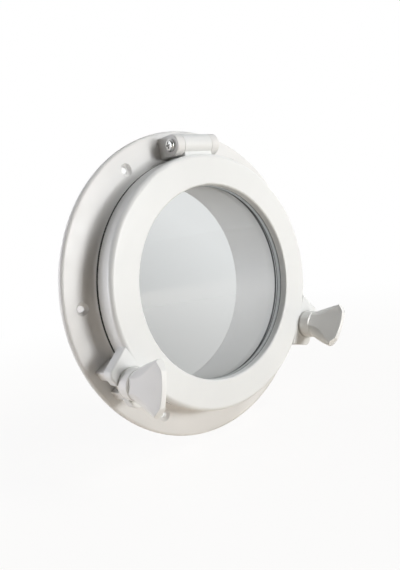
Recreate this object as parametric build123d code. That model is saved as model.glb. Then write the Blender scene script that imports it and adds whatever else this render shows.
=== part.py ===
from build123d import *
import math
import os

# Round opening portlight for a boat or van wall. A moulded fixed frame carries a spigot that
# passes through the wall. A glazed ring hinges on it at the top, and two wing knobs screw
# the ring down on its gasket.
# Lengths in millimetres, angles in degrees. +Z is up, the room side faces -Y, and the spigot
# runs along +Y. The origin is on the axis of the window, at the back face of the flange.
# Clock angles run from the top towards +X, as seen from the room.

# Allowances
cut_overrun = 1.0
bury = 1.0
fixed_play = 0.05
running_play = 0.05
swing_gap = 0.9
seat_gap = 0.1

# Window ring and its glazing
opening_radius = 66.3
opening_wall = 5.5
opening_round = 1.2
ring_wall = 13.4
window_front_round = 3.0
window_back_round = 0.8
glass_thickness = 5.0
glass_edge_cover = 5.6
seal_edge_wall = 2.1
seal_lip = 0.9
seal_setback = 0.2
retainer_thickness = 2.3

# Fixed frame
seat_setback = 2.1
seat_lip_thickness = 5.0
collar_inset = 0.4
collar_land = 0.6
cove_radius = 5.6
flange_width = 20.5
flange_thickness = 4.0
flange_front_round = 2.2
flange_back_break = 0.6
spigot_inset = 6.0
spigot_wall = 4.0
spigot_length = 42.0
spigot_end_break = 1.0

# Screw holes through the flange
hole_count = 6
hole_first_angle = 30.0
hole_edge_margin = 12.5
hole_radius = 2.25
countersink_radius = 4.25

# Gasket
gasket_thickness = 1.6
gasket_overhang = 0.3

# Hinge
hinge_ring_gap = 0.1
hinge_axis_setback = 5.7
knuckle_radius = 7.1
knuckle_width = 23.5
knuckle_side_play = 0.25
web_front_step = 2.2
web_back_step = 2.6
lug_thickness = 6.5
lug_edge_round = 0.9
sleeve_radius = 3.0
sleeve_bore_radius = 2.0
screw_head_radius = 4.2
screw_head_height = 2.5
screw_head_round = 1.5
screw_shank_length = 12.0
recess_length = 4.4
recess_width = 1.0
recess_depth = 1.3

# Ears and catch cheeks
latch_angle = 120.0
knob_axis_rise = 7.6
ear_thickness = 7.6
ear_root_half_width = 20.0
ear_end_half_width = 14.8
ear_end_margin = 8.3
ear_corner_round = 4.5
ear_notch_half_width = 6.0
ear_notch_depth = 2.4
ear_edge_round = 1.2
ear_gap = 0.6
cheek_thickness = 6.8
cheek_end_margin = 5.4
cheek_end_draft = 0.6
cheek_corner_round = 2.5
cheek_edge_round = 0.8

# Knob screw: stud, washer, clip and cross nut
stud_radius = 2.5
stud_hold = 12.0
stud_engagement = 3.0
stud_release = 0.4
stud_tip_break = 0.8
stud_ear_play = 0.3
stud_nut_play = 0.4
washer_inset = 0.2
washer_thickness = 2.0
washer_recess_play = 0.8
washer_recess_depth = 0.8
clip_radius = 4.4
clip_thickness = 0.8
clip_groove_depth = 0.6
clip_mouth_width = 3.6
clip_ear_gap = 0.3
clip_nut_gap = 0.4
clip_side_play = 0.9
nut_radius = 4.0
nut_blind_depth = 4.5

# Wing knob: a round hub with a flared wing that two flat faces make thin
hub_radius = 10.0
hub_height = 7.5
hub_round = 0.5
neck_inset = 1.0
neck_sink = 1.0
flare_rise = 7.0
flare_half_span = 13.0
flare_half_depth = 7.0
wing_rise = 23.7
wing_end_half_span = 18.1
wing_end_half_depth = 6.8
wing_tip_half_span = 16.6
wing_tip_drop = 5.7
wing_tip_round = 1.2
wing_shoulder_half_span = 10.6
wing_shoulder_drop = 1.0
wing_shoulder_round = 4.0
wing_foot_half_thickness = 8.4
wing_end_half_thickness = 1.6
wing_edge_round = 0.4
left_wing_angle = 13.0
right_wing_angle = 36.0

# Radii about the axis, from the opening outwards, and of the knob's washer
glass_radius = opening_radius + glass_edge_cover
rebate_radius = glass_radius + seal_edge_wall
window_radius = rebate_radius + ring_wall
seat_bore_radius = opening_radius + seat_setback
collar_radius = window_radius - collar_inset
spigot_radius = collar_radius - spigot_inset
flange_radius = collar_radius + flange_width
hole_circle_radius = flange_radius - hole_edge_margin
knob_circle_radius = window_radius + knob_axis_rise
washer_radius = hub_radius - washer_inset

# Depths along the axis, from the flange's back face towards the room
seat_y = -(flange_thickness + cove_radius + collar_land)
gasket_front_y = seat_y - gasket_thickness
window_back_y = gasket_front_y - seat_gap
seal_back_y = window_back_y - retainer_thickness
glass_back_y = seal_back_y - seal_lip
glass_front_y = glass_back_y - glass_thickness
rebate_floor_y = glass_front_y - seal_lip
window_front_y = rebate_floor_y - opening_wall
hinge_y = window_back_y - hinge_axis_setback
hinge_z = window_radius + hinge_ring_gap + knuckle_radius
ear_back_y = window_front_y + ear_thickness
cheek_top_y = ear_back_y + ear_gap
washer_back_y = window_front_y + washer_recess_depth
hub_base_y = washer_back_y - washer_thickness
knob_travel = stud_engagement + stud_release
clip_front_y = ear_back_y + clip_ear_gap + knob_travel
clip_back_y = clip_front_y + clip_thickness
nut_front_y = clip_back_y + clip_nut_gap
nut_y = nut_front_y + nut_radius
stud_tip_y = nut_front_y + stud_engagement
stud_head_y = hub_base_y - stud_hold

# Places across the hinge and the catches
lug_inner_x = knuckle_width / 2 + knuckle_side_play
lug_outer_x = lug_inner_x + lug_thickness
cheek_inner_x = clip_radius + clip_side_play
cheek_outer_x = cheek_inner_x + cheek_thickness

# Heights of the wing knob above the foot of its hub
neck_height = hub_height - neck_sink
flare_height = hub_height + flare_rise
wing_height = hub_height + wing_rise
wing_tip_height = wing_height - wing_tip_drop
wing_shoulder_height = wing_height - wing_shoulder_drop


def front_plane(y, x=0, z=0):
    """Plane across the window's axis. Its sketch axes are X and Z, and it extrudes to the front."""
    return Plane(origin=(x, y, z), x_dir=(1, 0, 0), z_dir=(0, -1, 0))


def side_plane(x):
    """Plane along the window's axis. Its sketch axes are Y and Z, and it extrudes towards +X."""
    return Plane(origin=(x, 0, 0), x_dir=(0, 1, 0), z_dir=(1, 0, 0))


def disc(radius, back_y, front_y, x=0, z=0):
    """Cylinder along the window's axis, between two depths."""
    return extrude(front_plane(back_y, x, z) * Circle(radius), amount=back_y - front_y)


def ring(inner_radius, outer_radius, back_y, front_y):
    """Plain ring about the window's axis, between two depths."""
    section = make_face(
        Polyline(
            (inner_radius, back_y),
            (outer_radius, back_y),
            (outer_radius, front_y),
            (inner_radius, front_y),
            close=True,
        )
    )
    return revolve(section, Axis.Y)


def cross_bar(radius, left_x, right_x, y, z):
    """Cylinder along X, between two places on that axis."""
    return extrude(side_plane(left_x) * Pos(y, z) * Circle(radius), amount=right_x - left_x)


def at_latch(shape):
    """Carries a shape from the top of the window round to the right-hand knob."""
    return Rot(0, latch_angle, 0) * shape


def mirrored(shape):
    """The same shape on the left of the window."""
    return mirror(shape, about=Plane.YZ)


def frame_section():
    """Half section of the flange, cove, gasket seat and spigot, as radius against depth."""
    spigot_bore = spigot_radius - spigot_wall
    front_y = -flange_thickness
    cove_foot = collar_radius + cove_radius
    cove_top_y = front_y - cove_radius
    cove_bow = cove_radius * math.sqrt(0.5)
    round_centre = flange_radius - flange_front_round
    round_bow = flange_front_round * math.sqrt(0.5)
    round_y = front_y + flange_front_round
    lip_back_y = seat_y + seat_lip_thickness
    outline = Polyline((seat_bore_radius, seat_y), (collar_radius, seat_y), (collar_radius, cove_top_y))
    outline += ThreePointArc(
        (collar_radius, cove_top_y),
        (cove_foot - cove_bow, cove_top_y + cove_bow),
        (cove_foot, front_y),
    )
    outline += Line((cove_foot, front_y), (round_centre, front_y))
    outline += ThreePointArc(
        (round_centre, front_y),
        (round_centre + round_bow, round_y - round_bow),
        (flange_radius, round_y),
    )
    outline += Polyline(
        (flange_radius, round_y),
        (flange_radius, -flange_back_break),
        (flange_radius - flange_back_break, 0),
        (spigot_radius, 0),
        (spigot_radius, spigot_length - spigot_end_break),
        (spigot_radius - spigot_end_break, spigot_length),
        (spigot_bore, spigot_length),
        (spigot_bore, lip_back_y),
        (seat_bore_radius, lip_back_y),
        (seat_bore_radius, seat_y),
    )
    return make_face(outline)


def hinge_lug():
    """Right-hand hinge lug: a block on the flange with a round nose about the hinge axis."""
    foot_y = bury - flange_thickness
    block_depth = foot_y - hinge_y
    block = Pos(foot_y - block_depth / 2, hinge_z) * Rectangle(block_depth, 2 * knuckle_radius)
    outline = block + Pos(hinge_y, hinge_z) * Circle(knuckle_radius)
    lug = extrude(side_plane(lug_inner_x) * outline, amount=lug_thickness)
    outer_edges = lug.faces().sort_by(Axis.X)[-1].edges()
    outer_edges = outer_edges.filter_by(lambda edge: edge.center().Y < -flange_thickness)
    return fillet(outer_edges, lug_edge_round)


def catch_cheek():
    """One cheek of a catch, at the top of the window, beside the gap on its +X side."""
    inner_z = window_radius + swing_gap
    outer_z = knob_circle_radius + cheek_end_margin
    foot_y = bury - flange_thickness
    outline = make_face(
        Polyline(
            (foot_y, inner_z),
            (foot_y, outer_z + cheek_end_draft),
            (cheek_top_y, outer_z),
            (cheek_top_y, inner_z),
            close=True,
        )
    )
    outer_corner = outline.vertices().sort_by(Axis.X)[:2].sort_by(Axis.Y)[-1]
    outline = fillet(outer_corner, cheek_corner_round)
    cheek = extrude(side_plane(cheek_inner_x) * outline, amount=cheek_thickness)
    outer_edges = cheek.faces().sort_by(Axis.X)[-1].edges()
    outer_edges = outer_edges.filter_by(lambda edge: edge.center().Y < -flange_thickness)
    return fillet(outer_edges, cheek_edge_round)


def nut_ends():
    """The cross nut's ends along X, at the top of the window. It goes in from its +X end."""
    return -(cheek_inner_x + nut_blind_depth), cheek_outer_x


def catch():
    """Right-hand catch: two cheeks, bored across for the nut, blind in the upper one."""
    cheek = catch_cheek()
    blind_end, open_end = nut_ends()
    bore_radius = nut_radius + fixed_play
    bore = cross_bar(bore_radius, blind_end, open_end + cut_overrun, nut_y, knob_circle_radius)
    return at_latch(cheek + mirrored(cheek) - bore)


def flange_hole():
    """Countersunk screw hole, at the top of the flange."""
    countersink_depth = countersink_radius - hole_radius
    shank = disc(hole_radius, cut_overrun, -flange_thickness - cut_overrun, z=hole_circle_radius)
    cone_section = make_face(
        Polyline(
            (0, -flange_thickness + countersink_depth),
            (hole_radius, -flange_thickness + countersink_depth),
            (countersink_radius, -flange_thickness),
            (countersink_radius, -flange_thickness - cut_overrun),
            (0, -flange_thickness - cut_overrun),
            close=True,
        )
    )
    return shank + Pos(0, 0, hole_circle_radius) * revolve(cone_section, Axis.Y)


def fixed_frame():
    """Flange, cove, seat and spigot in one moulding with the hinge lugs and the catches."""
    body = revolve(frame_section(), Axis.Y)
    lug = hinge_lug()
    bore_radius = sleeve_radius + fixed_play
    lug -= cross_bar(bore_radius, lug_inner_x - cut_overrun, lug_outer_x + cut_overrun, hinge_y, hinge_z)
    right_catch = catch()
    body += [lug, mirrored(lug), right_catch, mirrored(right_catch)]
    hole = flange_hole()
    pitch = 360 / hole_count
    return body - [Rot(0, hole_first_angle + pitch * index, 0) * hole for index in range(hole_count)]


def window_section():
    """Half section of the window ring: rounded front, open bore and a glass rebate at the back."""
    front_centre = window_radius - window_front_round
    front_bow = window_front_round * math.sqrt(0.5)
    front_round_y = window_front_y + window_front_round
    back_centre = window_radius - window_back_round
    back_bow = window_back_round * math.sqrt(0.5)
    back_round_y = window_back_y - window_back_round
    bore_centre = opening_radius + opening_round
    bore_bow = opening_round * math.sqrt(0.5)
    bore_round_y = window_front_y + opening_round
    outline = Polyline(
        (back_centre, window_back_y),
        (rebate_radius, window_back_y),
        (rebate_radius, rebate_floor_y),
        (opening_radius, rebate_floor_y),
        (opening_radius, bore_round_y),
    )
    outline += ThreePointArc(
        (opening_radius, bore_round_y),
        (bore_centre - bore_bow, bore_round_y - bore_bow),
        (bore_centre, window_front_y),
    )
    outline += Line((bore_centre, window_front_y), (front_centre, window_front_y))
    outline += ThreePointArc(
        (front_centre, window_front_y),
        (front_centre + front_bow, front_round_y - front_bow),
        (window_radius, front_round_y),
    )
    outline += Line((window_radius, front_round_y), (window_radius, back_round_y))
    outline += ThreePointArc(
        (window_radius, back_round_y),
        (back_centre + back_bow, back_round_y + back_bow),
        (back_centre, window_back_y),
    )
    return make_face(outline)


def ear():
    """Right-hand ear: a tapered tab flush with the ring's front, notched at its end."""
    root_z = window_radius - window_front_round
    end_z = knob_circle_radius + ear_end_margin
    outline = make_face(
        Polyline(
            (-ear_root_half_width, root_z),
            (ear_root_half_width, root_z),
            (ear_end_half_width, end_z),
            (-ear_end_half_width, end_z),
            close=True,
        )
    )
    outline = fillet(outline.vertices().sort_by(Axis.Y)[-2:], ear_corner_round)
    outline -= Pos(0, end_z) * Rectangle(2 * ear_notch_half_width, 2 * ear_notch_depth)
    tab = extrude(front_plane(ear_back_y) * outline, amount=ear_thickness)
    front_edges = tab.faces().sort_by(Axis.Y)[0].edges()
    front_edges = front_edges.filter_by(lambda edge: edge.center().Z > window_radius)
    return at_latch(fillet(front_edges, ear_edge_round))


def ear_cuts():
    """Washer recess and stud hole of the right-hand ear."""
    recess_radius = washer_radius + washer_recess_play
    ear_hole_radius = stud_radius + stud_ear_play
    recess = disc(recess_radius, washer_back_y, window_front_y - cut_overrun, z=knob_circle_radius)
    hole_back_y = ear_back_y + cut_overrun
    hole = disc(ear_hole_radius, hole_back_y, washer_back_y - cut_overrun, z=knob_circle_radius)
    return [at_latch(recess), at_latch(hole)]


def knuckle():
    """Hinge knuckle on a web that rises from the top of the ring."""
    half_width = knuckle_width / 2
    barrel = cross_bar(knuckle_radius, -half_width, half_width, hinge_y, hinge_z)
    web_front_y = hinge_y - knuckle_radius + web_front_step
    web_back_y = hinge_y + knuckle_radius - web_back_step
    web_foot_z = window_radius - window_front_round
    web_outline = make_face(
        Polyline(
            (web_front_y, web_foot_z),
            (web_back_y, web_foot_z),
            (web_back_y, hinge_z),
            (web_front_y, hinge_z),
            close=True,
        )
    )
    return barrel + extrude(side_plane(-half_width) * web_outline, amount=knuckle_width)


def window_frame():
    """Window ring in one moulding with its hinge knuckle and its two ears."""
    right_ear = ear()
    body = revolve(window_section(), Axis.Y) + [knuckle(), right_ear, mirrored(right_ear)]
    bore_radius = sleeve_radius + running_play
    bore_end = knuckle_width / 2 + cut_overrun
    sleeve_bore = cross_bar(bore_radius, -bore_end, bore_end, hinge_y, hinge_z)
    right_cuts = ear_cuts()
    left_cuts = [mirrored(cut) for cut in right_cuts]
    return body - [sleeve_bore, *right_cuts, *left_cuts]


def main_gasket():
    """Flat rubber ring on the seat, standing a little proud of the collar."""
    return ring(seat_bore_radius, collar_radius + gasket_overhang, seat_y, gasket_front_y)


def glass_pane():
    """Round pane, held all round in its channel."""
    return disc(glass_radius, glass_back_y, glass_front_y)


def glass_seal():
    """Rubber channel round the edge of the pane, with a lip on each face."""
    body = ring(opening_radius + seal_setback, rebate_radius - fixed_play, seal_back_y, rebate_floor_y)
    return body - disc(glass_radius + fixed_play, glass_back_y, glass_front_y)


def glass_retainer():
    """Ring that closes the rebate, flush with the back of the window."""
    return ring(seat_bore_radius, rebate_radius - fixed_play, window_back_y, seal_back_y)


def hinge_sleeve():
    """Metal sleeve through both lugs and the knuckle, bored for the two screws."""
    end_x = lug_outer_x - fixed_play
    sleeve = cross_bar(sleeve_radius, -end_x, end_x, hinge_y, hinge_z)
    bore = cross_bar(sleeve_bore_radius, -end_x - cut_overrun, end_x + cut_overrun, hinge_y, hinge_z)
    return sleeve - bore


def hinge_screw():
    """Right-hand pan-head screw with a cross recess."""
    top_x = lug_outer_x + screw_head_height
    head = cross_bar(screw_head_radius, lug_outer_x, top_x, hinge_y, hinge_z)
    head = fillet(head.edges().sort_by(Axis.X)[-1], screw_head_round)
    shank_radius = sleeve_bore_radius - fixed_play
    shank_end_x = lug_outer_x - screw_shank_length
    shank = cross_bar(shank_radius, shank_end_x, lug_outer_x + bury, hinge_y, hinge_z)
    slot = Pos(top_x, hinge_y, hinge_z) * Box(2 * recess_depth, recess_length, recess_width)
    cross_slot = Pos(top_x, hinge_y, hinge_z) * Box(2 * recess_depth, recess_width, recess_length)
    return head + shank - [slot, cross_slot]


def barrel_nut():
    """Right-hand cross nut, bored across for the stud."""
    blind_end, open_end = nut_ends()
    body = cross_bar(nut_radius, blind_end, open_end, nut_y, knob_circle_radius)
    bore = disc(
        stud_radius + stud_nut_play,
        nut_y + nut_radius + cut_overrun,
        nut_front_y - cut_overrun,
        z=knob_circle_radius,
    )
    return at_latch(body - bore)


def knob_stud():
    """Right-hand stud: plain round for its thread, grooved for the clip."""
    body = disc(stud_radius, stud_tip_y, stud_head_y, z=knob_circle_radius)
    body = chamfer(body.edges().sort_by(Axis.Y)[-1], stud_tip_break)
    groove_radius = stud_radius - clip_groove_depth
    groove_back_y = clip_back_y + fixed_play
    groove_front_y = clip_front_y - fixed_play
    groove = disc(stud_radius + cut_overrun, groove_back_y, groove_front_y, z=knob_circle_radius)
    groove -= disc(groove_radius, groove_back_y, groove_front_y, z=knob_circle_radius)
    return at_latch(body - groove)


def knob_washer():
    """Right-hand thrust washer between the ear and the hub."""
    body = disc(washer_radius, washer_back_y, hub_base_y, z=knob_circle_radius)
    bore = disc(stud_radius + stud_ear_play, washer_back_y, hub_base_y, z=knob_circle_radius)
    return at_latch(body - bore)


def retaining_clip():
    """Right-hand spring clip in the stud's groove, with an open mouth."""
    inner_radius = stud_radius - clip_groove_depth + fixed_play
    body = disc(clip_radius, clip_back_y, clip_front_y, z=knob_circle_radius)
    body -= disc(inner_radius, clip_back_y, clip_front_y, z=knob_circle_radius)
    mouth_plane = front_plane(clip_back_y, z=knob_circle_radius + clip_radius)
    mouth = extrude(mouth_plane * Rectangle(clip_mouth_width, 2 * clip_radius), amount=clip_thickness)
    return at_latch(body - mouth)


def wing_flare():
    """Flare of the wing: near round at the neck, then flatter and wider ovals up to its end."""
    neck = front_plane(-neck_height) * Ellipse(hub_radius, hub_radius - neck_inset)
    flare = front_plane(-flare_height) * Ellipse(flare_half_depth, flare_half_span)
    end = front_plane(-wing_height) * Ellipse(wing_end_half_depth, wing_end_half_span)
    return loft([neck, flare, end])


def wing_outline():
    """Broad view of the wing: upright sides, sloping shoulders and a bowed end."""
    tip_foot = (wing_tip_half_span, -neck_height)
    tip = (wing_tip_half_span, -wing_tip_height)
    shoulder = (wing_shoulder_half_span, -wing_shoulder_height)
    middle = (0, -wing_height)
    bow_radius = (wing_shoulder_half_span**2 + wing_shoulder_drop**2) / (2 * wing_shoulder_drop)
    outline = Polyline(middle, (0, -neck_height), tip_foot, tip, shoulder)
    outline += RadiusArc(shoulder, middle, bow_radius)
    half = make_face(outline)
    half = fillet(half.vertices().sort_by_distance(tip)[0], wing_tip_round)
    half = fillet(half.vertices().sort_by_distance(shoulder)[0], wing_shoulder_round)
    return half + mirror(half, about=Plane.YZ)


def wing_edge_view():
    """Edge view of the wing: two flat faces that close in from the hub to the thin end."""
    slope = (wing_foot_half_thickness - wing_end_half_thickness) / wing_rise
    root_half_thickness = wing_foot_half_thickness + slope * neck_sink
    return make_face(
        Polyline(
            (root_half_thickness, -neck_height),
            (wing_end_half_thickness, -wing_height),
            (-wing_end_half_thickness, -wing_height),
            (-root_half_thickness, -neck_height),
            close=True,
        )
    )


def wing_knob():
    """Wing knob at the origin: its axis runs along -Y and its wing spreads along Z."""
    broad_plane = Plane(origin=(0, 0, 0), x_dir=(0, 0, 1), z_dir=(-1, 0, 0))
    broad = extrude(broad_plane * wing_outline(), amount=hub_radius, both=True)
    edge = extrude(Plane.XY * wing_edge_view(), amount=wing_end_half_span, both=True)
    wing = wing_flare() & broad & edge
    ridges = wing.edges().filter_by(lambda edge: edge.center().Y < -hub_height)
    wing = fillet(ridges, wing_edge_round)
    hub = disc(hub_radius, 0, -hub_height)
    hub = fillet(hub.edges().sort_by(Axis.Y)[0], hub_round)
    stud_bore = disc(stud_radius + fixed_play, cut_overrun, -stud_hold - fixed_play)
    return hub + wing - stud_bore


def knob_in_place(side, wing_angle):
    """Wing knob on its ear, with its wings at a clock angle. Side is 1 for right, -1 for left."""
    latch = math.radians(latch_angle)
    x = side * knob_circle_radius * math.sin(latch)
    z = knob_circle_radius * math.cos(latch)
    return Pos(x, hub_base_y, z) * Rot(0, wing_angle, 0) * wing_knob()


nodes = {
    "fixed_frame": fixed_frame(),
    "main_gasket": main_gasket(),
    "window_frame": window_frame(),
    "glass_pane": glass_pane(),
    "glass_seal": glass_seal(),
    "glass_retainer": glass_retainer(),
    "hinge_sleeve": hinge_sleeve(),
    "right_knob": knob_in_place(1, right_wing_angle),
    "left_knob": knob_in_place(-1, left_wing_angle),
}
right_hand_pieces = {
    "hinge_screw": hinge_screw(),
    "barrel_nut": barrel_nut(),
    "knob_stud": knob_stud(),
    "knob_washer": knob_washer(),
    "retaining_clip": retaining_clip(),
}
for name, piece in right_hand_pieces.items():
    nodes["right_" + name] = piece
    nodes["left_" + name] = mirrored(piece)

os.makedirs("parts", exist_ok=True)
for name, solid in nodes.items():
    export_step(solid, os.path.join("parts", name + ".step"))
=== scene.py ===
import math
import bpy
import numpy as np
from mathutils import Matrix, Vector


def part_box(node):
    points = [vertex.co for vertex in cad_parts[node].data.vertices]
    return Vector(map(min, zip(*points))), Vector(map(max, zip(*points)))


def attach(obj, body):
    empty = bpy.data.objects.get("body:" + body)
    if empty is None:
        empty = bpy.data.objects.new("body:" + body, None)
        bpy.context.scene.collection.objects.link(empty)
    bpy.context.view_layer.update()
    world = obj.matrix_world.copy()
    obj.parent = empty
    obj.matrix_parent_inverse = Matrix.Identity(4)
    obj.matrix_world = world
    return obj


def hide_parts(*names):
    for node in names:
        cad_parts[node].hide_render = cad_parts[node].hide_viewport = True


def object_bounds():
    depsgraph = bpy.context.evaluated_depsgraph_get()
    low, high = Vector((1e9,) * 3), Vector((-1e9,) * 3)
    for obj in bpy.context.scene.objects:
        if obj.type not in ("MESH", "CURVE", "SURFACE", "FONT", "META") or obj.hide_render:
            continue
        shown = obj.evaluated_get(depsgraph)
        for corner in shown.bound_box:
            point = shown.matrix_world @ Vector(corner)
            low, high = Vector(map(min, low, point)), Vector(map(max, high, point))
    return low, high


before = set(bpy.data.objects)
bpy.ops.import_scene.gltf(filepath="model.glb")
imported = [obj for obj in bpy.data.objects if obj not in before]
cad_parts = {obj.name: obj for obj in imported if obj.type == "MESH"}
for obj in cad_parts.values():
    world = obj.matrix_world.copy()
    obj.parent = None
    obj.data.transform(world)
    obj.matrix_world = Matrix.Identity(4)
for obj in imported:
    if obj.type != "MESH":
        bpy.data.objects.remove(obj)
cad_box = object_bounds()


# Fixed frame
# One injection moulding in white ABS: flange, cove, gasket seat, spigot, hinge lugs and catch
# cheeks. Six countersunk screws hold it to the wall, and sealant beds its flat back.

def new_finish(name):
    """A node material, with its tree and its principled shader."""
    finish = bpy.data.materials.new(name)
    finish.use_nodes = True
    return finish, finish.node_tree, finish.node_tree.nodes["Principled BSDF"]


def add_node(tree, kind, inputs, **settings):
    """One node of a tree, with its settings and the values of its unlinked sockets."""
    made = tree.nodes.new(kind)
    for key, value in settings.items():
        setattr(made, key, value)
    for key, value in inputs.items():
        made.inputs[key].default_value = value
    return made


def place_of(tree):
    """Position on the piece in metres, in the frame of the whole window."""
    return add_node(tree, "ShaderNodeTexCoord", {}).outputs["Object"]


def mottle(tree, waves_per_metre, detail):
    """Cloudy noise between 0 and 1 with so many waves to the metre."""
    noise = add_node(tree, "ShaderNodeTexNoise", {"Scale": waves_per_metre, "Detail": detail})
    tree.links.new(place_of(tree), noise.inputs["Vector"])
    return noise.outputs["Fac"]


# Most of the cloudy noise lies between these two values.
noise_low, noise_high = 0.3, 0.7


def tint(tree, shader, value, dark, light):
    """Base colour that goes from dark to light between noise_low and noise_high."""
    ramp = add_node(tree, "ShaderNodeValToRGB", {})
    ramp.color_ramp.elements[0].position = noise_low
    ramp.color_ramp.elements[0].color = (*dark, 1)
    ramp.color_ramp.elements[1].position = noise_high
    ramp.color_ramp.elements[1].color = (*light, 1)
    tree.links.new(value, ramp.inputs["Fac"])
    tree.links.new(ramp.outputs["Color"], shader.inputs["Base Color"])


def gloss(tree, shader, value, smooth, rough):
    """Roughness that goes from smooth to rough between noise_low and noise_high."""
    limits = {"From Min": noise_low, "From Max": noise_high, "To Min": smooth, "To Max": rough}
    spread = add_node(tree, "ShaderNodeMapRange", limits)
    tree.links.new(value, spread.inputs["Value"])
    tree.links.new(spread.outputs["Result"], shader.inputs["Roughness"])


def relief(tree, shader, value, depth):
    """Bumps of a depth in metres that follow the value."""
    bump = add_node(tree, "ShaderNodeBump", {"Distance": depth})
    tree.links.new(value, bump.inputs["Height"])
    tree.links.new(bump.outputs["Normal"], shader.inputs["Normal"])


def moulded_white(name, dark, light, smooth, rough):
    """White ABS: faint cloudiness, uneven gloss and the fine grain of a blasted mould."""
    finish, tree, shader = new_finish(name)
    tint(tree, shader, mottle(tree, waves_per_metre=14, detail=3), dark, light)
    gloss(tree, shader, mottle(tree, waves_per_metre=120, detail=4), smooth, rough)
    relief(tree, shader, mottle(tree, waves_per_metre=2600, detail=2), depth=0.00002)
    return finish


def dress(finish, *nodes):
    """Gives CAD nodes a finish in place of their plain one."""
    for node in nodes:
        bpy.data.objects[node].material_slots[0].material = finish


frame_white = moulded_white("frame_white", dark=(0.79, 0.785, 0.77), light=(0.83, 0.825, 0.81),
                            smooth=0.34, rough=0.46)
dress(frame_white, "fixed_frame")


# Main gasket
# Flat ring of black EPDM rubber, die-cut from sheet and glued to the seat of the fixed frame.
# The window ring presses on it when the knobs are tight.

def rubber_skin(tree, shader):
    """The dull, uneven gloss and the fine grain of rubber."""
    gloss(tree, shader, mottle(tree, waves_per_metre=300, detail=3), smooth=0.55, rough=0.75)
    relief(tree, shader, mottle(tree, waves_per_metre=4000, detail=3), depth=0.00004)


def sheet_rubber(name, dark, light):
    """Sheet rubber with a paler bloom in patches."""
    finish, tree, shader = new_finish(name)
    tint(tree, shader, mottle(tree, waves_per_metre=60, detail=4), dark, light)
    rubber_skin(tree, shader)
    return finish


gasket_black = sheet_rubber("gasket_black",
                            dark=(0.010, 0.010, 0.011), light=(0.022, 0.022, 0.024))
dress(gasket_black, "main_gasket")


# Hinge pin
# Stainless sleeve pushed through both lugs and the knuckle, closed at each end by a pan-head
# screw with a cross recess. The heads are turned and polished.

def turned_steel(name, axis_point, across, turns_per_metre):
    """Bright turned steel: fine rings, as a sine of the distance from a point on the axis. In that
    distance x, y and z are first multiplied by the three weights of across."""
    finish, tree, shader = new_finish(name)
    shader.inputs["Metallic"].default_value = 1.0
    patches = mottle(tree, waves_per_metre=500, detail=3)
    tint(tree, shader, patches, dark=(0.60, 0.60, 0.59), light=(0.70, 0.70, 0.69))
    gloss(tree, shader, mottle(tree, waves_per_metre=900, detail=3), smooth=0.16, rough=0.28)
    offset = add_node(tree, "ShaderNodeVectorMath", {}, operation="SUBTRACT")
    offset.inputs[1].default_value = axis_point
    tree.links.new(place_of(tree), offset.inputs[0])
    flat = add_node(tree, "ShaderNodeVectorMath", {}, operation="MULTIPLY")
    flat.inputs[1].default_value = across
    tree.links.new(offset.outputs["Vector"], flat.inputs[0])
    reach = add_node(tree, "ShaderNodeVectorMath", {}, operation="LENGTH")
    tree.links.new(flat.outputs["Vector"], reach.inputs[0])
    phase = add_node(tree, "ShaderNodeMath", {1: turns_per_metre * math.tau}, operation="MULTIPLY")
    tree.links.new(reach.outputs["Value"], phase.inputs[0])
    rings = add_node(tree, "ShaderNodeMath", {}, operation="SINE")
    tree.links.new(phase.outputs["Value"], rings.inputs[0])
    relief(tree, shader, rings.outputs["Value"], depth=0.000004)
    return finish


def middle_of(node):
    """Middle of a CAD node's box."""
    low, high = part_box(node)
    return tuple((a + b) / 2 for a, b in zip(low, high))


pin_steel = turned_steel("pin_steel", middle_of("hinge_sleeve"),
                         across=(0, 1, 1), turns_per_metre=5000)
dress(pin_steel, "hinge_sleeve", "left_hinge_screw", "right_hinge_screw")


# Barrel nuts
# Cross nuts turned from stainless bar, pushed into the catch cheeks from below. The knob studs
# screw into them.

for side in ("left", "right"):
    nut_node = side + "_barrel_nut"
    nut_steel = turned_steel(side + "_nut_steel", middle_of(nut_node),
                             across=(0.5, 1, 0.9), turns_per_metre=4000)
    dress(nut_steel, nut_node)


# Window ring
# White ABS moulding with the hinge knuckle at the top and an ear for each knob. A ring of the
# same plastic, welded in from behind, closes the rebate that holds the glass.

window_white = moulded_white("window_white", dark=(0.80, 0.81, 0.80), light=(0.84, 0.85, 0.84),
                             smooth=0.30, rough=0.42)
dress(window_white, "window_frame", "glass_retainer")


# Pane
# Round grey-tinted toughened glass with polished faces, held by its edge in a rubber channel that
# is pressed into the rebate of the window ring. The channel is grey inside, with dark lips.

def tinted_glass():
    """Clear grey glass with faint wiping smears in its gloss."""
    finish, tree, shader = new_finish("tinted_glass")
    shader.inputs["Transmission Weight"].default_value = 1.0
    shader.inputs["IOR"].default_value = 1.5
    patches = mottle(tree, waves_per_metre=8, detail=1)
    tint(tree, shader, patches, dark=(0.755, 0.775, 0.775), light=(0.785, 0.805, 0.805))
    gloss(tree, shader, mottle(tree, waves_per_metre=25, detail=3), smooth=0.0, rough=0.015)
    return finish


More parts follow.
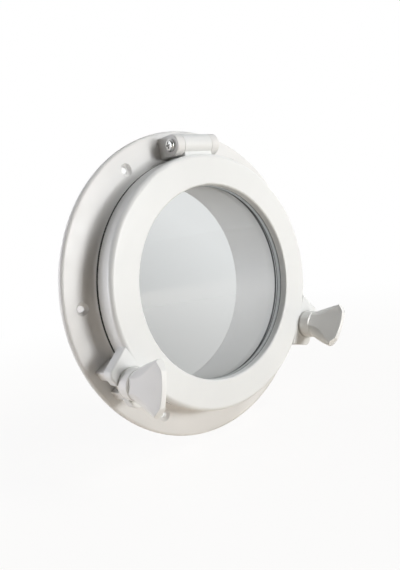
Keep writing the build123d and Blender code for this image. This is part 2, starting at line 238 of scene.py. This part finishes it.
def channel_rubber(name, lips, inside, front, back):
    """Rubber in one colour between two depths along Y and in another outside them. The inside
    glows faintly, in place of the light that the pane would bring to it."""
    slack = 0.0001
    glow = 0.5
    finish, tree, shader = new_finish(name)
    place = add_node(tree, "ShaderNodeSeparateXYZ", {})
    tree.links.new(place_of(tree), place.inputs[0])
    band = {1: (front + back) / 2, 2: (back - front) / 2 + slack}
    within = add_node(tree, "ShaderNodeMath", band, operation="COMPARE")
    tree.links.new(place.outputs["Y"], within.inputs[0])
    tint(tree, shader, within.outputs["Value"], lips, inside)
    gathered = add_node(tree, "ShaderNodeMath", {1: glow}, operation="MULTIPLY")
    tree.links.new(within.outputs["Value"], gathered.inputs[0])
    tree.links.new(gathered.outputs["Value"], shader.inputs["Emission Strength"])
    shader.inputs["Emission Color"].default_value = (*inside, 1)
    rubber_skin(tree, shader)
    return finish


dress(tinted_glass(), "glass_pane")
pane_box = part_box("glass_pane")
seal_grey = channel_rubber("seal_grey", lips=(0.03, 0.03, 0.03), inside=(0.42, 0.43, 0.43),
                           front=pane_box[0][1], back=pane_box[1][1])
dress(seal_grey, "glass_seal")


# Knobs
# Wing knobs moulded in a brighter white than the ring, each over a steel stud, on a nylon washer
# that turns in a shallow recess of the ear.

knob_white = moulded_white("knob_white", dark=(0.87, 0.87, 0.85), light=(0.90, 0.90, 0.88),
                           smooth=0.32, rough=0.45)
dress(knob_white, "left_knob", "right_knob")
nylon = moulded_white("nylon", dark=(0.74, 0.73, 0.70), light=(0.79, 0.78, 0.75),
                      smooth=0.5, rough=0.65)
dress(nylon, "left_knob_washer", "right_knob_washer")


# Studs and clips
# The studs are rolled M5 threads on stainless rod, with a groove for the spring clip that
# keeps the knob on its ear. The knob hub is moulded over the head end.

def mesh_piece(name, points, finish):
    """A tube from a grid of points, rows along it and columns round it, with flat ends."""
    rows, columns = points.shape[:2]
    row, column = np.meshgrid(np.arange(rows - 1), np.arange(columns), indexing="ij")
    after = (column + 1) % columns
    here, there = row * columns, (row + 1) * columns
    corners = (here + column, here + after, there + after, there + column)
    quads = np.stack(corners, axis=-1).reshape(-1, 4)
    rim = np.arange(columns)
    caps = [rim[::-1].tolist(), (rim + (rows - 1) * columns).tolist()]
    mesh = bpy.data.meshes.new(name)
    mesh.from_pydata(points.reshape(-1, 3), [], quads.tolist() + caps)
    mesh.materials.append(finish)
    mesh.shade_smooth()
    piece = bpy.data.objects.new(name, mesh)
    bpy.context.collection.objects.link(piece)
    return piece


def stud_surface(node, clip):
    """Radius = rod radius less a triangle wave in (depth / pitch - angle / turn), with a groove at
    the clip and a chamfer at the tip. The angle runs from +Z to +X: a right-hand thread."""
    pitch = 0.0008
    thread_depth = 0.00045
    groove_depth = 0.0006
    chamfer = 0.0008
    rows, columns = 300, 48
    (left, head, bottom), (right, tip, top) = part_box(node)
    radius = (right - left) / 2
    depth = np.linspace(head, tip, rows)[:, None]
    angle = np.linspace(0, math.tau, columns, endpoint=False)[None, :]
    wave = np.abs((depth / pitch - angle / math.tau) % 1 * 2 - 1)
    reach = radius - thread_depth * wave
    groove_front, groove_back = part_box(clip)[0][1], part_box(clip)[1][1]
    in_groove = (depth > groove_front) & (depth < groove_back)
    reach = np.where(in_groove, radius - groove_depth, reach)
    reach = np.minimum(reach, radius - chamfer + (tip - depth))
    x = (left + right) / 2 + reach * np.sin(angle)
    z = (bottom + top) / 2 + reach * np.cos(angle)
    return np.stack(np.broadcast_arrays(x, depth, z), axis=-1)


for side in ("left", "right"):
    stud_node = side + "_knob_stud"
    clip_node = side + "_retaining_clip"
    stud_steel = turned_steel(side + "_stud_steel", middle_of(stud_node),
                              across=(1, 0, 1), turns_per_metre=3000)
    stud = mesh_piece(side + "_threaded_stud", stud_surface(stud_node, clip_node), stud_steel)
    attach(stud, side + "_knob")
    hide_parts(stud_node)
    dress(stud_steel, clip_node)


# Floor
# Warm pale paint on a level studio floor. The camera sees it white apart from the shadow under
# the window, and through the glass it shows a painted shade: grey, darker down and to the left.

def seen(tree, in_gloss):
    """1 on rays from the camera or through the glass, in_gloss on rays in a gloss, 0 on others."""
    path = add_node(tree, "ShaderNodeLightPath", {})
    direct = add_node(tree, "ShaderNodeMath", {}, operation="MAXIMUM")
    tree.links.new(path.outputs["Is Camera Ray"], direct.inputs[0])
    tree.links.new(path.outputs["Is Transmission Ray"], direct.inputs[1])
    mirrored = add_node(tree, "ShaderNodeMath", {}, operation="MULTIPLY")
    tree.links.new(path.outputs["Is Glossy Ray"], mirrored.inputs[0])
    tree.links.new(in_gloss, mirrored.inputs[1])
    either = add_node(tree, "ShaderNodeMath", {}, operation="MAXIMUM")
    tree.links.new(direct.outputs["Value"], either.inputs[0])
    tree.links.new(mirrored.outputs["Value"], either.inputs[1])
    return either.outputs["Value"]


def through_glass(tree):
    """Painted shade of what is seen through the glass, set by the direction of view: white,
    and greyer down and to the left.
    """
    pale_side = {1: (-0.57, 0.38, -0.72)}
    towards = add_node(tree, "ShaderNodeVectorMath", pale_side, operation="DOT_PRODUCT")
    heading = add_node(tree, "ShaderNodeNewGeometry", {}).outputs["Incoming"]
    tree.links.new(heading, towards.inputs[0])
    limits = {"From Min": -0.162, "From Max": 0.0735, "To Min": 0.6, "To Max": 1.0}
    shade = add_node(tree, "ShaderNodeMapRange", limits)
    tree.links.new(towards.outputs["Value"], shade.inputs["Value"])
    to_camera = add_node(tree, "ShaderNodeLightPath", {}).outputs["Is Camera Ray"]
    whiten = add_node(tree, "ShaderNodeMixRGB", {"Color2": (1, 1, 1, 1)})
    tree.links.new(to_camera, whiten.inputs["Fac"])
    tree.links.new(shade.outputs["Result"], whiten.inputs["Color1"])
    return whiten.outputs["Color"]


def by_distance(tree, near, far, near_value, far_value):
    """A value that goes smoothly from one to the other with the distance from the origin."""
    reach = add_node(tree, "ShaderNodeVectorMath", {}, operation="LENGTH")
    tree.links.new(place_of(tree), reach.inputs[0])
    limits = {"From Min": near, "From Max": far, "To Min": near_value, "To Max": far_value}
    spread = add_node(tree, "ShaderNodeMapRange", limits, interpolation_type="SMOOTHSTEP")
    tree.links.new(reach.outputs["Value"], spread.inputs["Value"])
    return spread.outputs["Result"]


def floor_paint():
    """Pale paint mixed with white light, more of it far away, so that no horizon shows."""
    near, far = 0.1, 0.8
    paint, tree, shader = new_finish("floor_paint")
    patches = mottle(tree, waves_per_metre=2, detail=2)
    tint(tree, shader, patches, dark=(0.90, 0.80, 0.68), light=(0.93, 0.83, 0.71))
    gloss(tree, shader, mottle(tree, waves_per_metre=30, detail=2), smooth=0.85, rough=0.95)
    shown = seen(tree, by_distance(tree, near, far, near_value=0.25, far_value=0.1))
    glow = add_node(tree, "ShaderNodeEmission", {"Strength": 1.0})
    # Painted shade: through the glass the floor's glow turns greyer down and to the left.
    tree.links.new(through_glass(tree), glow.inputs["Color"])
    share = add_node(tree, "ShaderNodeMath", {}, operation="MULTIPLY")
    tree.links.new(shown, share.inputs[0])
    whiteness = by_distance(tree, near, far, near_value=0.92, far_value=1.0)
    tree.links.new(whiteness, share.inputs[1])
    mix = add_node(tree, "ShaderNodeMixShader", {})
    tree.links.new(share.outputs["Value"], mix.inputs["Fac"])
    tree.links.new(shader.outputs["BSDF"], mix.inputs[1])
    tree.links.new(glow.outputs["Emission"], mix.inputs[2])
    tree.links.new(mix.outputs["Shader"], tree.nodes["Material Output"].inputs["Surface"])
    return paint


def flat_sheet(name, half_size, height, cells):
    """Level square of cells by cells faces, x and y running from -half_size to half_size."""
    steps = np.linspace(-half_size, half_size, cells + 1)
    across, along = np.meshgrid(steps, steps)
    points = np.stack([across, along, np.full_like(across, height)], axis=-1).reshape(-1, 3)
    column, row = np.meshgrid(np.arange(cells), np.arange(cells))
    corner = (row * (cells + 1) + column).reshape(-1, 1)
    mesh = bpy.data.meshes.new(name)
    mesh.from_pydata(points, [], corner + np.array([0, 1, cells + 2, cells + 1]))
    sheet = bpy.data.objects.new(name, mesh)
    bpy.context.collection.objects.link(sheet)
    return sheet


floor_gap = 0.0005
floor = flat_sheet("floor", half_size=20.0, height=cad_box[0][2] - floor_gap, cells=8)
floor.data.materials.append(floor_paint())


# Light
# White surround with a dim room in front for the glosses. Soft lamps: a key in front on the right,
# one high above it without a mirror image, so that the opened window doesn't glare, a broad and a
# narrow one on the left behind the flange, and a wide one behind the window.

scene = bpy.context.scene
scene.view_settings.view_transform = "Standard"
surround = bpy.data.worlds.new("surround")
scene.world = surround
surround.use_nodes = True
sky_tree = surround.node_tree
sky_light = sky_tree.nodes["Background"]
sky_light.inputs["Color"].default_value = (0.94, 0.95, 1.0, 1)
sky_light.inputs["Strength"].default_value = 0.01
sky_white = add_node(sky_tree, "ShaderNodeBackground", {"Strength": 1.0})
# Painted shade: through the glass the white surround turns greyer down and to the left.
sky_tree.links.new(through_glass(sky_tree), sky_white.inputs["Color"])
back_of_room = {1: (0.5, 0.86, 0)}
towards_back = add_node(sky_tree, "ShaderNodeVectorMath", back_of_room, operation="DOT_PRODUCT")
sky_direction = add_node(sky_tree, "ShaderNodeTexCoord", {}).outputs["Generated"]
sky_tree.links.new(sky_direction, towards_back.inputs[0])
front_to_back = {"From Min": -0.9, "From Max": 0.4, "To Min": 0.06, "To Max": 0.9}
mirrored_room = add_node(sky_tree, "ShaderNodeMapRange", front_to_back)
sky_tree.links.new(towards_back.outputs["Value"], mirrored_room.inputs["Value"])
sky_mix = add_node(sky_tree, "ShaderNodeMixShader", {})
sky_tree.links.new(seen(sky_tree, mirrored_room.outputs["Result"]), sky_mix.inputs["Fac"])
sky_tree.links.new(sky_light.outputs["Background"], sky_mix.inputs[1])
sky_tree.links.new(sky_white.outputs["Background"], sky_mix.inputs[2])
sky_tree.links.new(sky_mix.outputs["Shader"], sky_tree.nodes["World Output"].inputs["Surface"])


def basis_towards(azimuth, elevation, roll):
    """Right, up and back axes of something that looks at the window's axis, in degrees."""
    az, el, turn = np.radians([azimuth, elevation, roll])
    back = np.array([math.sin(az) * math.cos(el), -math.cos(az) * math.cos(el), math.sin(el)])
    right = np.cross(-back, (0, 0, 1))
    right /= np.linalg.norm(right)
    up = np.cross(right, -back)
    turned_right = right * math.cos(turn) + up * math.sin(turn)
    turned_up = up * math.cos(turn) - right * math.sin(turn)
    return np.column_stack([turned_right, turned_up, back])


def set_up(thing, azimuth, elevation, distance, aim, roll=0):
    """Puts a lamp or camera at a distance from the point it aims at, looking back at it."""
    axes = basis_towards(azimuth, elevation, roll)
    matrix = np.eye(4)
    matrix[:3, :3] = axes
    matrix[:3, 3] = np.array(aim) + axes[:, 2] * distance
    thing.matrix_world = Matrix(matrix)
    bpy.context.collection.objects.link(thing)


def soft_lamp(name, azimuth, elevation, distance, width, height, watts, colour):
    """Soft lamp of a width and height in metres, aimed at the window, unseen through the glass."""
    lamp = bpy.data.lights.new(name, "AREA")
    lamp.shape = "RECTANGLE"
    lamp.size = width
    lamp.size_y = height
    lamp.energy = watts
    lamp.color = colour
    holder = bpy.data.objects.new(name, lamp)
    holder.visible_transmission = False
    set_up(holder, azimuth, elevation, distance, aim=(0, 0, 0))
    return holder


white, cool_white = (0.98, 0.99, 1.0), (0.93, 0.94, 1.0)
soft_lamp("key", azimuth=18, elevation=5, distance=1.2,
          width=0.3, height=0.3, watts=7.3, colour=white)
high = soft_lamp("high", azimuth=36, elevation=41, distance=1.2,
                 width=0.4, height=0.4, watts=6.4, colour=white)
high.visible_glossy = False
soft_lamp("left", azimuth=-123, elevation=6, distance=1.0,
          width=0.3, height=0.5, watts=5.4, colour=cool_white)
soft_lamp("side", azimuth=-101, elevation=4, distance=1.0,
          width=0.1, height=0.3, watts=0.7, colour=cool_white)
soft_lamp("behind", azimuth=-172, elevation=14, distance=1.2,
          width=0.7, height=0.4, watts=4.0, colour=white)


# Camera
# Stands in front on the left, a little above the middle, close enough for a strong perspective,
# and leans a few degrees to its side.

lens = bpy.data.cameras.new("camera")
lens.lens = 35.62
lens.sensor_width = 36.0
lens.shift_x = 0.0036
lens.shift_y = -0.0040
lens.clip_start = 0.01
viewer = bpy.data.objects.new("camera", lens)
set_up(viewer, azimuth=-39.34, elevation=5.15, distance=0.40417, aim=(0, -0.0015, 0), roll=-8.51)
scene.camera = viewer
